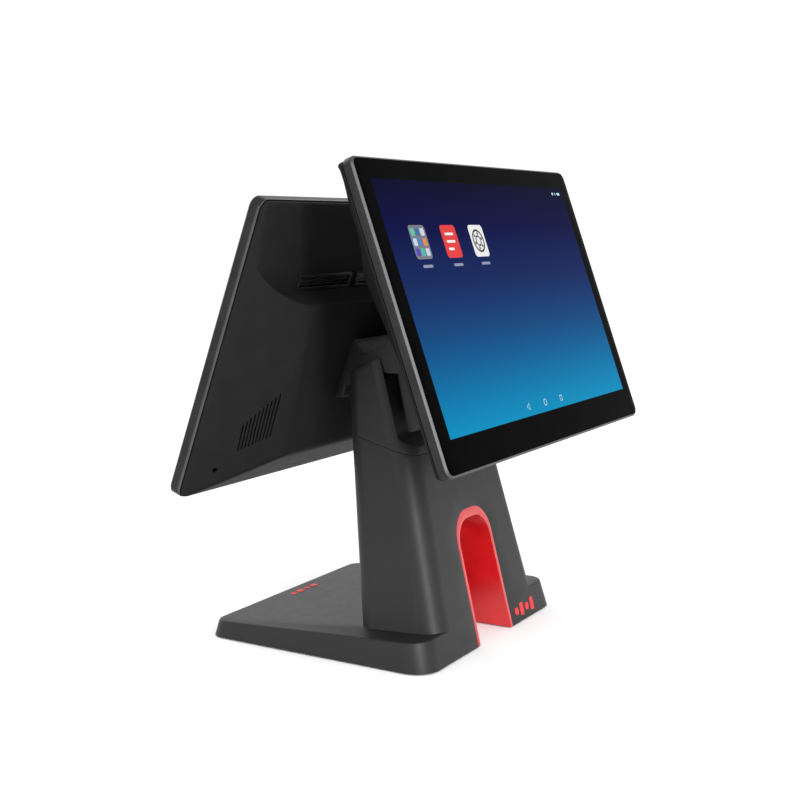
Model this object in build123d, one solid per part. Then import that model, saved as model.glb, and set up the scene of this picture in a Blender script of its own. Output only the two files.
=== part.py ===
"""Dual-screen point-of-sale touch terminal on a leaning pedestal.

Frame: origin on the counter under the middle of the terminal, +X to the operator's right,
-Y towards the operator, +Z up. Millimetres.
"""
from build123d import *
from math import atan, cos, degrees, radians, sin, tan
import os

# ---------------------------------------------------------------- driving dimensions
# Base slab and column
BASE_FRONT_Y = -80.4          # front edge of the base on the counter
BASE_BACK_Y = 133.0           # back edge of the base on the counter
BASE_FRONT_HALF = 123.5       # half width at the front edge
BASE_BACK_HALF = 116.5        # half width at the back edge
BASE_SIDE_DRAFT = 0.16        # the sides lean in by this much per mm of height
BASE_BACK_DRAFT = 0.233
BASE_TOP_Z = 21.23            # height of the sloping top above the origin
BASE_TOP_SLOPE = 0.051        # the top falls towards the back
BASE_FRONT_R = 20.0
BASE_BACK_R = 13.0
TOP_EDGE_R = 2.0
FLOOR_GAP = 1.2               # the feet hold the housing this far off the counter
WALL = 2.8

LEAN = tan(radians(14.0))     # the front of base and column lean back as one plane
COLUMN_FOOT_Z = 25.0
COLUMN_FOOT_HALF = 92.6
COLUMN_TAPER = 0.108
COLUMN_BACK_Y = -2.5
COLUMN_BACK_LEAN = 0.128
COLUMN_FRONT_R = 18.0
COLUMN_BACK_R = 12.0

# Cable tunnel through the foot of the column
TUNNEL_FOOT_HALF = 33.65
TUNNEL_TOP_HALF = 31.2
TUNNEL_TOP_Z = 109.0
TUNNEL_R = 25.0
LINER_SIDE = 3.8
LINER_TOP = 7.5
SLOT_END_Y = 0.0

# Neck cap
SEAM_Z = 161.8                # height of the seam where it meets the front face
SEAM_SLOPE = 0.27
SEAM_GAP = 0.4
CAP_WALL = 2.4
CAP_EXTRA_LEAN = 0.077        # above the seam the front leans back by this much more
CAP_TOP_Z = 239.5
POCKET_DEPTH = 13.5

# Hinge axes (y, z), both along X
MAIN_AXIS = (-1.0, 236.5)
CUSTOMER_AXIS = (18.0, 234.5)
SHAFT_R = 4.0
SHAFT_CLEARANCE = 0.05
KNUCKLE_R = 6.0
EAR_R = 6.2
EAR_PLACES = (24.0, 48.0)     # distance of the ears from the middle
EAR_THICK = 4.0

# Displays: outer width, outer height, edge thickness, tilt from vertical, frame centre (y, z)
SCREEN_W = 380.0
CORNER_R = 8.0
MAIN_H = 237.0
CUSTOMER_H = 244.0
MAIN_EDGE = 8.2
CUSTOMER_EDGE = 10.2
MAIN_TILT = radians(19.62)
CUSTOMER_TILT = radians(20.06)
MAIN_CENTRE = (-93.63, 282.48)
CUSTOMER_CENTRE = (72.97, 252.76)
ACTIVE_RISE = 4.85            # the lit area's centre is this far above the frame's centre
ACTIVE_W = 344.2
ACTIVE_H = 193.6

# Rear cover, in the display's own x, height and depth behind the glass
HUMP_DEPTH = 48.0
CREST_HALF = 130.5            # half width of the raised middle at mid height
CREST_SPREAD = 0.2            # it widens upwards by this much per mm on each side
HUMP_FOOT = 44.0              # the bottom bevel is this high
RIM_EXTRA = 3.0
RECESS_DROP = 71.5            # the recess across the top of the back reaches this far down
RECESS_R = 54.0
RECESS_DEEP = 20.0
RECESS_SHALLOW = 14.5
COVER_WALL = 2.2
GRILLE_W = 78.0
GRILLE_H = 13.0
GRILLE_DROP = 64.0            # middle of the grilles below the top edge
GRILLE_PITCH = 86.0
VENT_COUNT = 10
VENT_PITCH = 2.8
VENT_W = 1.3
VENT_X = 130.5                # innermost slot of the vent
VENT_TOP = -25.5              # ends of the innermost slot, and how they fall from slot to slot
VENT_TOP_STEP = -3.3
VENT_BOTTOM = -64.5
VENT_BOTTOM_STEP = -1.6

nodes = {}


# ---------------------------------------------------------------- shared shapes
def front_y(z):
    """Y of the leaning front face at a height."""
    return BASE_FRONT_Y + LEAN * z


def column_back_y(z):
    return COLUMN_BACK_Y + COLUMN_BACK_LEAN * z


def column_half(z):
    return COLUMN_FOOT_HALF - COLUMN_TAPER * (z - COLUMN_FOOT_Z)


def base_top(y):
    return BASE_TOP_Z - BASE_TOP_SLOPE * y


def seam_height(y):
    return SEAM_Z + SEAM_SLOPE * (y - front_y(SEAM_Z))


def prism_x(points, x0, x1):
    """Outline of (y, z) points, extruded from x0 to x1."""
    face = Plane.YZ * Polygon(*points, align=None)
    return Pos(x0, 0, 0) * extrude(face, amount=x1 - x0, dir=(1, 0, 0))


def prism_y(face, y0, y1):
    """Face drawn in (x, z), extruded from y0 to y1."""
    return Pos(0, y0, 0) * extrude(Plane.XZ * face, amount=y1 - y0, dir=(0, 1, 0))


def box(x0, x1, y0, y1, z0, z1):
    return Pos((x0 + x1) / 2, (y0 + y1) / 2, (z0 + z1) / 2) * Box(x1 - x0, y1 - y0, z1 - z0)


def rod_x(radius, x0, x1, y, z):
    """Round bar along X."""
    return Pos((x0 + x1) / 2, y, z) * Rot(0, 90, 0) * Cylinder(radius, x1 - x0)


def rod_z(radius, x, y, z0, z1):
    return Pos(x, y, (z0 + z1) / 2) * Cylinder(radius, z1 - z0)


def both_sides(shape):
    """The shape and its mirror image across the middle plane."""
    return shape + mirror(shape, about=Plane.YZ)


def rounded_outline(points, front_r, back_r):
    """Four-cornered (x, y) outline with one radius on its front corners and one on its back."""
    middle = sum(point[1] for point in points) / len(points)
    face = Polygon(*points, align=None)
    face = fillet([vertex for vertex in face.vertices() if vertex.Y < middle], front_r)
    behind = [vertex for vertex in face.vertices() if vertex.Y > middle]
    return fillet(behind, back_r)


# ---------------------------------------------------------------- display frames of reference
def main_point(v, d):
    """World (y, z) of a point v up the main screen and d behind its glass."""
    y = MAIN_CENTRE[0] + v * sin(MAIN_TILT) + d * cos(MAIN_TILT)
    z = MAIN_CENTRE[1] + v * cos(MAIN_TILT) - d * sin(MAIN_TILT)
    return (y, z)


def customer_point(v, d):
    """World (y, z) of a point v up the customer screen and d behind its glass."""
    y = CUSTOMER_CENTRE[0] - v * sin(CUSTOMER_TILT) - d * cos(CUSTOMER_TILT)
    z = CUSTOMER_CENTRE[1] + v * cos(CUSTOMER_TILT) - d * sin(CUSTOMER_TILT)
    return (y, z)


# ---------------------------------------------------------------- stand
def base_section(z, inset):
    front_half = BASE_FRONT_HALF - BASE_SIDE_DRAFT * z - inset
    back_half = BASE_BACK_HALF - BASE_SIDE_DRAFT * z - inset
    y0 = front_y(z) + inset
    y1 = BASE_BACK_Y - BASE_BACK_DRAFT * z - inset
    points = [(-front_half, y0), (front_half, y0), (back_half, y1), (-back_half, y1)]
    return Pos(0, 0, z) * rounded_outline(points, BASE_FRONT_R - inset, BASE_BACK_R - inset)


def base_solid(z0, inset, lowered):
    """Wedge-shaped slab from z0 up to the sloping top, shrunk by inset and lowered."""
    slab = loft([base_section(z0, inset), base_section(34.0, inset)], ruled=True)
    profile = [(-120, z0), (160, z0), (160, base_top(160) - lowered), (-120, base_top(-120) - lowered)]
    return slab & prism_x(profile, -140, 140)


def column_section(z, inset):
    half = column_half(z) - inset
    y0 = front_y(z) + inset
    y1 = column_back_y(z) - inset
    points = [(-half, y0), (half, y0), (half, y1), (-half, y1)]
    return Pos(0, 0, z) * rounded_outline(points, COLUMN_FRONT_R - inset, COLUMN_BACK_R - inset)


def column_solid(z0, z1, inset):
    return loft([column_section(z0, inset), column_section(z1, inset)], ruled=True)


def below_seam(drop):
    """Everything lower than the neck seam by a drop."""
    points = [(-150, 0), (100, 0), (100, seam_height(100) - drop), (-150, seam_height(-150) - drop)]
    return prism_x(points, -150, 150)


def arch(side, crown, y0, y1):
    """Arch-shaped prism through the foot, shrunk by a side and a crown thickness."""
    foot = TUNNEL_FOOT_HALF - side
    top = TUNNEL_TOP_HALF - side
    height = TUNNEL_TOP_Z - crown
    face = Polygon((-foot, -5), (foot, -5), (top, height), (-top, height), align=None)
    crown_corners = [vertex for vertex in face.vertices() if vertex.Y > 0]
    return prism_y(fillet(crown_corners, TUNNEL_R - side), y0, y1)


def tunnel_reach(grow):
    """Profile that the tunnel fills: the slot in the slab and the passage behind it."""
    sill = base_top(0)
    points = [
        (-150, -6),
        (SLOT_END_Y + grow, -6),
        (SLOT_END_Y + grow, sill),
        (40, sill),
        (40, 130),
        (-150, 130),
    ]
    return prism_x(points, -60, 60)


def tunnel_void(side, crown, grow):
    return arch(side, crown, -150, 40) & tunnel_reach(grow)


BOSSES = [(sx * x, y) for sx in (-1, 1) for x, y in ((104.0, -46.0), (101.0, 35.0), (98.0, 98.0))]
BOSS_R = 4.5
BOSS_HOLE_R = 1.5
PLATE_SCREW_HEAD_R = 3.0
PLATE_SCREW_HEAD = 1.2
PLATE_Z = (1.2, 4.2)
FOOT_PADS = [(sx * x, y) for sx in (-1, 1) for x, y in ((100.0, -66.0), (104.0, 0.0), (94.0, 118.0))]
PAD_R = 9.0
PAD_RECESS = 0.8


def stand_housing():
    """One moulding: sloping slab, leaning column and the sleeve round the tunnel."""
    slab = base_solid(FLOOR_GAP, 0, 0)
    slab = fillet(slab.faces().sort_by(Axis.Z)[-1].edges(), TOP_EDGE_R)
    outside = slab + (column_solid(10, 200, 0) & below_seam(SEAM_GAP / 2))
    inside = base_solid(-1, WALL, WALL) + (column_solid(5, 205, WALL) & below_seam(-8))
    inside = inside - tunnel_void(-WALL, -WALL, WALL)
    shell = outside - inside - tunnel_void(0, 0, 0)
    for x, y in BOSSES:
        top = base_top(y) - 1.5
        shell = shell + rod_z(BOSS_R, x, y, PLATE_Z[1], top)
        shell = shell - rod_z(BOSS_HOLE_R, x, y, PLATE_Z[1] - 1, PLATE_Z[1] + 8)
    return shell


def tunnel_liner():
    body = tunnel_void(0, 0, 0) - arch(LINER_SIDE, LINER_TOP, -150, 40)
    points = [
        (front_y(FLOOR_GAP), FLOOR_GAP),
        (SLOT_END_Y, FLOOR_GAP),
        (SLOT_END_Y, base_top(0)),
        (column_back_y(base_top(0)), base_top(0)),
        (column_back_y(130), 130),
        (front_y(130), 130),
    ]
    return body & prism_x(points, -60, 60)


def base_plate():
    """Steel plate that closes the underside, slotted for the tunnel."""
    plate = loft([base_section(PLATE_Z[0], WALL + 0.3), base_section(PLATE_Z[1], WALL + 0.3)], ruled=True)
    plate = plate - tunnel_void(-WALL - 0.4, 0, WALL + 0.4)
    for x, y in BOSSES:
        plate = plate - rod_z(BOSS_HOLE_R + 0.2, x, y, 0, 6)
        plate = plate - rod_z(PLATE_SCREW_HEAD_R + 0.1, x, y, 0, PLATE_Z[0] + PLATE_SCREW_HEAD)
    for x, y in FOOT_PADS:
        plate = plate - rod_z(PAD_R, x, y, 0, PLATE_Z[0] + PAD_RECESS)
    for x, y in FRAME_BOLTS:
        plate = plate - rod_z(BOLT_R + 0.02, x, y, 0, 6)
    return plate


def foot_pads():
    solids = []
    for x, y in FOOT_PADS:
        pad = rod_z(PAD_R, x, y, 0, PLATE_Z[0] + PAD_RECESS)
        solids.append(chamfer(pad.edges().sort_by(Axis.Z)[:1], 0.4))
    return Compound(children=solids)


def base_plate_screws():
    solids = []
    for x, y in BOSSES:
        seat = PLATE_Z[0] + PLATE_SCREW_HEAD
        head = rod_z(PLATE_SCREW_HEAD_R, x, y, PLATE_Z[0], seat)
        solids.append(head + rod_z(BOSS_HOLE_R, x, y, seat, PLATE_Z[1] + 7))
    return Compound(children=solids)


FRAME_LEG_X = (48.0, 51.0)
FRAME_FOOT_X = 74.0
FRAME_Z = (4.2, 186.0)
SHEET = 3.0
FRAME_BOLTS = [(sx * 63.0, y) for sx in (-1, 1) for y in (-50.0, -24.0)]
CARRIER_BOLTS = [(sx * 36.0, y) for sx in (-1, 1) for y in (-3.0, 13.0)]
CARRIER_Z = (186.0, 190.0)
BOLT_R = 1.98
BOLT_HEAD_R = 3.8
BOLT_HEAD = 2.8


def upright_frame():
    """Folded steel frame that straddles the tunnel and carries the hinges."""
    leg = [(-58, FRAME_Z[0]), (-16, FRAME_Z[0]), (16.5, FRAME_Z[1]), (-17, FRAME_Z[1])]
    frame = both_sides(prism_x(leg, FRAME_LEG_X[0], FRAME_LEG_X[1]))
    frame = frame + both_sides(box(FRAME_LEG_X[0], FRAME_FOOT_X, -58, -16, FRAME_Z[0], FRAME_Z[0] + SHEET))
    frame = frame + box(-FRAME_LEG_X[1], FRAME_LEG_X[1], -17, 16.5, FRAME_Z[1] - SHEET, FRAME_Z[1])
    for x, y in FRAME_BOLTS:
        frame = frame - rod_z(BOLT_R + 0.12, x, y, FRAME_Z[0] - 1, FRAME_Z[0] + SHEET + 1)
    for x, y in CARRIER_BOLTS:
        frame = frame - rod_z(BOLT_R + 0.02, x, y, FRAME_Z[1] - SHEET - 1, FRAME_Z[1] + 1)
    return frame


def bolt(x, y, seat, length):
    """Hexagon-headed bolt whose head sits on a seat height."""
    head = Pos(x, y, seat) * extrude(RegularPolygon(BOLT_HEAD_R, 6), amount=BOLT_HEAD)
    return head + rod_z(BOLT_R, x, y, seat - length, seat)


def upright_frame_bolts():
    return Compound(children=[bolt(x, y, FRAME_Z[0] + SHEET, 5.8) for x, y in FRAME_BOLTS])


def hinge_carrier():
    """Steel bracket with four double ears that hold both hinge shafts."""
    my, mz = MAIN_AXIS
    cy, cz = CUSTOMER_AXIS
    base = box(-52, 52, -8, 18.4, CARRIER_Z[0], CARRIER_Z[1])
    for x, y in CARRIER_BOLTS:
        base = base - rod_z(BOLT_R + 0.12, x, y, CARRIER_Z[0] - 1, CARRIER_Z[1] + 1)
    block = [(-7.2, 189), (18.4, 189), (20, 212), (-7.2, 212)]
    main_post = [(-7.2, 211), (my + EAR_R, 211), (my + EAR_R, mz), (my - EAR_R, mz)]
    rear_post = [(10, 211), (20, 211), (cy + EAR_R, cz - 6), (cy + EAR_R, cz), (cy - EAR_R, cz)]
    ears = base
    for place in EAR_PLACES:
        x0 = place - EAR_THICK / 2
        x1 = place + EAR_THICK / 2
        ear = prism_x(block, x0, x1) + prism_x(main_post, x0, x1) + prism_x(rear_post, x0, x1)
        ear = ear + rod_x(EAR_R, x0, x1, my, mz) + rod_x(EAR_R, x0, x1, cy, cz)
        ears = ears + both_sides(ear)
    ears = ears - rod_x(SHAFT_R, -60, 60, my, mz) - rod_x(SHAFT_R, -60, 60, cy, cz)
    return ears


def hinge_carrier_bolts():
    return Compound(children=[bolt(x, y, CARRIER_Z[1], 9.0) for x, y in CARRIER_BOLTS])


SHAFT_END = 59.5
WASHER_X = ((50.0, 51.2), (51.2, 52.4))
NUT_X = (52.4, 57.4)


def hinge_shaft(axis):
    shaft = rod_x(SHAFT_R, -SHAFT_END, SHAFT_END, axis[0], axis[1])
    return chamfer(shaft.edges().filter_by(GeomType.CIRCLE), 0.6)


def hinge_washers(axis):
    solids = []
    for x0, x1 in WASHER_X:
        ring = rod_x(EAR_R, x0, x1, axis[0], axis[1]) - rod_x(SHAFT_R, 40, 60, axis[0], axis[1])
        solids += [ring, mirror(ring, about=Plane.YZ)]
    return Compound(children=solids)


def hinge_nuts(axis):
    hexagon = extrude(Plane.YZ * RegularPolygon(6.2, 6), amount=NUT_X[1] - NUT_X[0], dir=(1, 0, 0))
    nut = Pos(NUT_X[0], axis[0], axis[1]) * hexagon - rod_x(SHAFT_R, 40, 60, axis[0], axis[1])
    return Compound(children=[nut, mirror(nut, about=Plane.YZ)])


# ---------------------------------------------------------------- neck
def side_wedge(inset):
    """Space between the column's two tapering sides, shrunk by an inset."""
    low = column_half(100) - inset
    high = column_half(260) - inset
    return prism_y(Polygon((-low, 100), (low, 100), (high, 260), (-high, 260), align=None), -120, 80)


def pocket_profile(wall):
    """Hollow in the neck's front, with a curved floor; wall moves its faces inwards."""
    depth = POCKET_DEPTH + wall
    points = [
        (-80, 168 - wall),
        (front_y(168 - wall), 168 - wall),
        (front_y(171 - wall) + 0.35 * depth, 171 - wall),
        (front_y(175 - wall) + 0.72 * depth, 175 - wall),
        (front_y(181 - wall) + depth, 181 - wall),
        (front_y(260) + depth, 260),
        (-80, 260),
    ]
    return prism_x(points, -90, 90)


def cap_section(z, inset):
    """Column section whose front is set back, ever more above the seam."""
    half = column_half(z) - inset
    y0 = front_y(z) + CAP_EXTRA_LEAN * (z - SEAM_Z) + inset
    y1 = column_back_y(z) - inset
    points = [(-half, y0), (half, y0), (half, y1), (-half, y1)]
    return Pos(0, 0, z) * rounded_outline(points, COLUMN_FRONT_R - inset, COLUMN_BACK_R - inset)


def cap_solid(z0, z1, inset):
    return loft([cap_section(z0, inset), cap_section(z1, inset)], ruled=True)


def neck_shell():
    """Cap above the seam, still in one piece with its back."""
    points = [
        (-80, seam_height(-80) + SEAM_GAP / 2),
        (60, seam_height(60) + SEAM_GAP / 2),
        (60, CAP_TOP_Z - 0.4935 * 67),
        (-7, CAP_TOP_Z),
        (-80, CAP_TOP_Z),
    ]
    outside = cap_solid(140, 250, 0) & prism_x(points, -90, 90)
    inside = cap_solid(135, 255, CAP_WALL) - (pocket_profile(CAP_WALL) & side_wedge(0))
    shell = outside - inside - (pocket_profile(0) & side_wedge(CAP_WALL))
    gate = prism_x([(-60, 222), (8, 222), (8, 212), (60, 212), (60, 260), (-60, 260)], -90, 90)
    return shell - (gate & side_wedge(CAP_WALL))


def behind_split(gap):
    """Everything behind the line that parts the neck cap from its rear cover."""
    points = [(-0.5 + 0.09 * 140 + gap, 140), (80, 140), (80, 260), (-0.5 + 0.09 * 260 + gap, 260)]
    return prism_x(points, -90, 90)


# ---------------------------------------------------------------- displays, in their own frame
def flat(w, h, d0, d1, r):
    """Rounded rectangular slab lying between two depths behind the glass."""
    return Pos(0, 0, -d1) * extrude(RectangleRounded(w, h, r), amount=d1 - d0)


def block(x, v, w, h, d0, d1):
    return Pos(x, v, -(d0 + d1) / 2) * Box(w, h, d1 - d0)


def post(radius, x, v, d0, d1):
    return Pos(x, v, -(d0 + d1) / 2) * Cylinder(radius, d1 - d0)


def across(points, x0, x1):
    """Outline of (height, depth) points, extruded along the display's x."""
    return prism_x([(v, -d) for v, d in points], x0, x1)


def cover_glass(height):
    return flat(SCREEN_W - 3.6, height - 3.6, 0, 1.3, 6.4)


def bezel_frame(height, edge):
    """Ring with a bevelled front lip, a seat for the glass and a deep inner wall."""
    ring = flat(SCREEN_W, height, 0.2, edge, CORNER_R)
    ring = chamfer(ring.faces().sort_by(Axis.Z)[-1].edges(), 1.6)
    ring = ring - flat(SCREEN_W - 3.6, height - 3.6, -1, 1.3, 6.4)
    return ring - flat(SCREEN_W - 16, height - 16, 0, edge + 1, 4)


def lcd_panel():
    return Pos(0, ACTIVE_RISE, 0) * flat(ACTIVE_W + 9, ACTIVE_H + 10, 1.3, 5.8, 2)


TRAY_INSET = 22.0
TRAY_HOLES_X = (-150.0, 150.0)
TRAY_HOLES_V = (-80.0, 80.0)
TRAY_HOLE_R = 2.1
TRAY_SLOTS_X = (-60.0, 0.0, 60.0)
TRAY_SLOTS_V = -95.0
TRAY_SLOT = (40.0, 5.0)


def chassis_plate(height, edge):
    """Pressed steel tray behind the panel, with holes for standoffs and slots for cables."""
    tray = flat(SCREEN_W - TRAY_INSET, height - TRAY_INSET, edge + 0.2, edge + 1.4, 6)
    for x in TRAY_HOLES_X:
        for v in TRAY_HOLES_V:
            tray = tray - post(TRAY_HOLE_R, x, v, edge - 1, edge + 3)
    for x in TRAY_SLOTS_X:
        tray = tray - flat_slot(x, TRAY_SLOTS_V, edge)
    return tray


def flat_slot(x, v, edge):
    return Pos(x, v, -edge - 2) * extrude(SlotOverall(*TRAY_SLOT), amount=4)


def rear_volume(height, edge, inset):
    """Outer shape of the back: low rim, sloping flanks, raised middle and a recess on top."""
    half_w = SCREEN_W / 2 - 0.8 - inset
    half_h = height / 2 - 0.8 - inset
    rim = edge + RIM_EXTRA - inset
    deep = HUMP_DEPTH - inset
    start = edge - (1.0 if inset else 0.0)
    past = 2.0
    ends = []
    for v in (-half_h - past, half_h + past):
        crest = CREST_HALF + CREST_SPREAD * v - 0.3 * inset
        low = -rim + past * (deep - rim) / (half_w - crest)
        right = [(half_w + past, v, 0), (half_w + past, v, low), (crest, v, -deep)]
        ends.append(right + [(-x, v, z) for x, v, z in reversed(right)])
    ridge = loft([Face(Wire.make_polygon(end)) for end in ends], ruled=True)
    foot = -height / 2 + HUMP_FOOT
    slope = (deep + 1 - rim) / (foot - 1 + half_h)
    back = [(half_h + past, 0), (half_h + past, deep + 2), (foot - 1, deep + 1)]
    bevel = across([(-half_h - past, 0)] + back + [(-half_h - past, rim - past * slope)], -210, 210)
    body = ridge & bevel & flat(2 * half_w, 2 * half_h, start, deep + 1, max(CORNER_R - inset, 2))
    return body - recess_void(height, inset)


def recess_void(height, inset):
    """Round-cornered hollow across the top of the back, with a gently sloping floor."""
    tall = 200.0
    opening = RectangleRounded(SCREEN_W + 7 + 2 * inset, tall, RECESS_R + inset)
    top = height / 2
    sill = top - RECESS_DROP
    opening = Pos(0, sill - inset + tall / 2, -80) * extrude(opening, amount=80)
    floor = [
        (sill - 20, RECESS_DEEP - inset),
        (sill, RECESS_DEEP - inset),
        (top, RECESS_SHALLOW - inset),
        (top + 40, RECESS_SHALLOW - inset),
        (top + 40, 90),
        (sill - 20, 90),
    ]
    return opening & across(floor, -220, 220)


def floor_depth(drop):
    """Depth of the recess floor at a distance below the display's top edge."""
    return RECESS_SHALLOW + drop / RECESS_DROP * (RECESS_DEEP - RECESS_SHALLOW)


def vent_slots():
    """Slanting group of slots in each flank, longer towards the middle."""
    cuts = []
    for index in range(VENT_COUNT):
        x = VENT_X + VENT_PITCH * index
        top = VENT_TOP + VENT_TOP_STEP * index
        bottom = VENT_BOTTOM + VENT_BOTTOM_STEP * index
        cuts.append(block(x, (top + bottom) / 2, VENT_W, top - bottom, 16, 60))
        cuts.append(block(-x, (top + bottom) / 2, VENT_W, top - bottom, 16, 60))
    return cuts


COVER_SCREWS = [(sx * x, v) for sx in (-1, 1) for x, v in ((168.0, -96.0), (168.0, 20.0))]
COVER_SCREW_R = 1.6
COVER_SCREW_HEAD_R = 2.15
COVER_SCREW_SEAT = 16.0       # depth behind the glass at which the heads rest
FLANGE_W = 116.0
FLANGE_THICK = 2.5
FLANGE_CORNER_R = 4.0
FLANGE_SCREWS_X = (-50.0, 50.0)
FLANGE_SCREW_R = 2.0
FLANGE_SCREW_BITE = 8.0
WAFER_R = 3.8
WAFER_HEIGHT = 1.0


def rear_cover(height, edge, flange_v):
    shell = rear_volume(height, edge, 0) - rear_volume(height, edge, COVER_WALL)
    groove = flat(SCREEN_W + 10, height + 10, edge - 1, edge + 1.0, 12)
    groove = groove - flat(SCREEN_W - 4, height - 4, edge - 2, edge + 2, 6)
    shell = shell - groove
    for cut in vent_slots():
        shell = shell - cut
    for x in (-GRILLE_PITCH, 0, GRILLE_PITCH):
        shell = shell - block(x, height / 2 - GRILLE_DROP, GRILLE_W - 4, GRILLE_H - 3, 10, 30)
    for x, v in COVER_SCREWS:
        shell = shell - post(COVER_SCREW_HEAD_R + 0.05, x, v, edge, 60)
    for x in FLANGE_SCREWS_X:
        for v in flange_v:
            shell = shell - post(FLANGE_SCREW_R + 0.1, x, v, HUMP_DEPTH - FLANGE_SCREW_BITE, 60)
    return shell


def cover_screws(edge):
    """Pan-headed screws sunk in the flanks of the rear cover."""
    solids = []
    for x, v in COVER_SCREWS:
        shank = post(COVER_SCREW_R, x, v, edge + 2, COVER_SCREW_SEAT)
        solids.append(shank + post(COVER_SCREW_HEAD_R, x, v, COVER_SCREW_SEAT, COVER_SCREW_SEAT + 3))
    return Compound(children=solids)


def vent_grilles(height):
    """Three framed inserts with slats, lying in the floor of the recess."""
    tilt = degrees(atan((RECESS_DEEP - RECESS_SHALLOW) / RECESS_DROP))
    depth = floor_depth(GRILLE_DROP)
    solids = []
    for x in (-GRILLE_PITCH, 0, GRILLE_PITCH):
        ring = Pos(0, 0, 0.6) * Box(GRILLE_W, GRILLE_H, 1.2)
        ring = ring - Box(GRILLE_W - 6, GRILLE_H - 5, 8)
        rim = Pos(0, 0, -0.7) * Box(GRILLE_W - 4.4, GRILLE_H - 3.4, 1.4)
        ring = ring + (rim - Box(GRILLE_W - 6, GRILLE_H - 5, 8))
        for v in (-2.0, 0.0, 2.0):
            ring = ring + Pos(0, v, -0.6) * Box(GRILLE_W - 5, 0.9, 1.4)
        turned = Rot(tilt, 0, 0) * Rot(180, 0, 0) * ring
        solids.append(Pos(x, height / 2 - GRILLE_DROP, -depth) * turned)
    return Compound(children=solids)


def circuit_board(w, h, x, v, d):
    """Board with corner holes, chips and a row of headers, fused as populated."""
    board = block(x, v, w, h, d, d + 1.6)
    for sx in (-1, 1):
        for sv in (-1, 1):
            board = board - post(1.7, x + sx * (w / 2 - 5), v + sv * (h / 2 - 5), d - 1, d + 3)
    for index in range(4):
        board = board + block(x - w / 2 + 18 + 22 * index, v - h / 4, 12, 12, d + 1.6, d + 3.0)
    board = board + block(x, v + h / 2 - 12, w * 0.6, 5, d + 1.6, d + 7.0)
    return board


def heat_spreader(x, v, d):
    """Finned aluminium block."""
    body = block(x, v, 66, 54, d, d + 3)
    for index in range(11):
        body = body + block(x - 30 + 6 * index, v, 1.6, 54, d + 3, d + 12)
    return body


SPEAKER_X = 143.0
SPEAKER_V = -56.0
SPEAKER_DEPTHS = (12.5, 17.5, 19.0)   # back of the case, its front, front of the cone


def speakers():
    """Pair of boxed speakers behind the vents."""
    near, far, cone_far = SPEAKER_DEPTHS
    solids = []
    for side in (-1, 1):
        case = block(side * SPEAKER_X, SPEAKER_V, 26, 52, near, far)
        cone = post(10, side * SPEAKER_X, SPEAKER_V, far, cone_far)
        solids.append(fillet(case.edges().filter_by(Axis.Z), 3) + cone)
    return Compound(children=solids)


def hinge_flange(v0, v1):
    flange = block(0, (v0 + v1) / 2, FLANGE_W, v1 - v0, HUMP_DEPTH, HUMP_DEPTH + FLANGE_THICK)
    return fillet(flange.edges().filter_by(Axis.Z), FLANGE_CORNER_R)


def flange_hole(x, v):
    return post(FLANGE_SCREW_R + 0.1, x, v, HUMP_DEPTH - 1, HUMP_DEPTH + FLANGE_THICK + 1)


def flange_screws(flange_v):
    """Low wafer-headed screws, which clear the ears and the plastic arm."""
    seat = HUMP_DEPTH + FLANGE_THICK
    solids = []
    for x in FLANGE_SCREWS_X:
        for v in flange_v:
            head = post(WAFER_R, x, v, seat, seat + WAFER_HEIGHT)
            solids.append(head + post(FLANGE_SCREW_R, x, v, HUMP_DEPTH - FLANGE_SCREW_BITE, seat))
    return Compound(children=solids)


KNUCKLE_X = (26.3, 45.7)
MAIN_FLANGE_V = (-46.0, 4.5)
MAIN_FLANGE_SCREWS = (-38.0, -4.0)
CUSTOMER_FLANGE_V = (-31.5, 14.5)
CUSTOMER_FLANGE_SCREWS = (-23.5, 7.5)
RISE = radians(31.62)         # slope of the top of the main hinge arm


def along_arm(reach, lift):
    """World (y, z) a reach forward of the main axis along the arm and a lift above it."""
    y = MAIN_AXIS[0] - reach * cos(RISE) + lift * sin(RISE)
    z = MAIN_AXIS[1] + reach * sin(RISE) + lift * cos(RISE)
    return (y, z)


def main_hinge_leaf(main_place):
    """Steel leaf: a flange on the display, two tongues and two knuckles on the shaft."""
    leaf = main_place * hinge_flange(*MAIN_FLANGE_V)
    for v in MAIN_FLANGE_SCREWS:
        for x in FLANGE_SCREWS_X:
            leaf = leaf - main_place * flange_hole(x, v)
    tongue = [along_arm(-1, 3), along_arm(54.5, 3), along_arm(54.5, 6), along_arm(-1, 6)]
    rib = [along_arm(24, 3.5), along_arm(54.5, 3.5), main_point(-38, HUMP_DEPTH + 2.0)]
    for side in (-1, 1):
        x0, x1 = sorted((side * KNUCKLE_X[0], side * KNUCKLE_X[1]))
        leaf = leaf + prism_x(tongue, x0, x1) + rod_x(KNUCKLE_R, x0, x1, *MAIN_AXIS)
        leaf = leaf + prism_x(rib, side * 36 - 1.5, side * 36 + 1.5)
    return leaf - rod_x(SHAFT_R + SHAFT_CLEARANCE, -60, 60, *MAIN_AXIS)


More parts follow.
